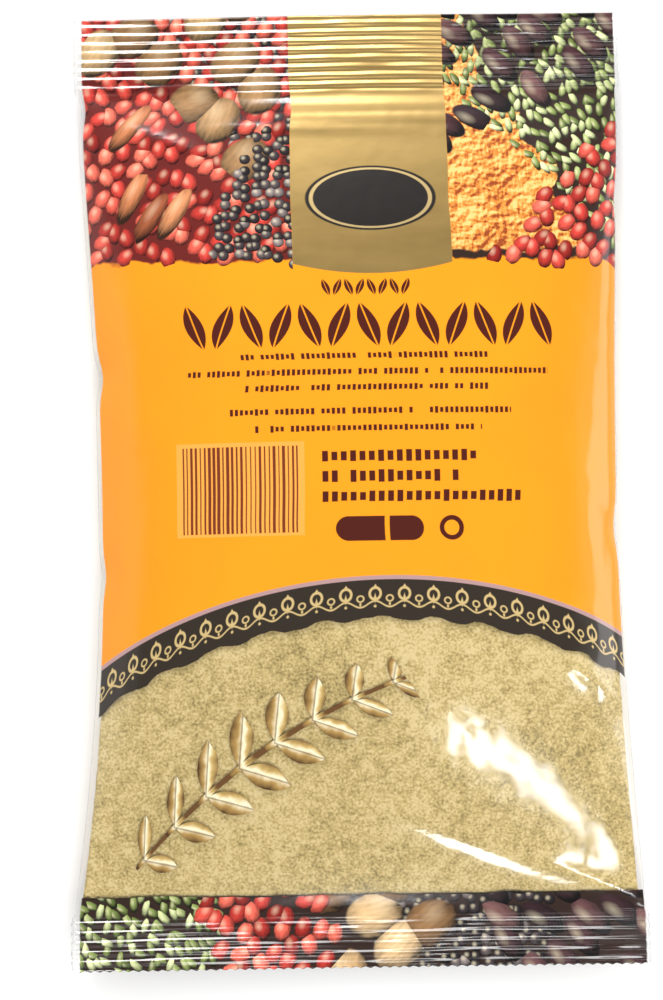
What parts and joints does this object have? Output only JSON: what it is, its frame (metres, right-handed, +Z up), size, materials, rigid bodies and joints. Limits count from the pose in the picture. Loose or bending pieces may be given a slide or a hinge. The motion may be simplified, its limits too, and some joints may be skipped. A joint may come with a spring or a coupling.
{
  "type": "sealed spice pouch",
  "caption": "Flat pillow pouch of clear printed film filled with ground spice, crimped flat at both ends and lapped down the back.",
  "frame": {"origin": "on the table, under the middle of the pouch's box", "axes": "+Z up from the table through the front of the pouch, +Y along the length towards the deeper top seal, +X across the width to the right of the front"},
  "size_m": [0.12, 0.206, 0.0156],
  "materials": {
    "printed_film": "glossy clear film, reverse printed in orange, dark brown and gold, with a clear window over the powder",
    "ground_spice": "fine olive beige powder with darker and paler flecks"
  },
  "bodies": {
    "root": {"film_pouch": "printed_film", "ground_spice": "ground_spice"}
  },
  "joints": []
}
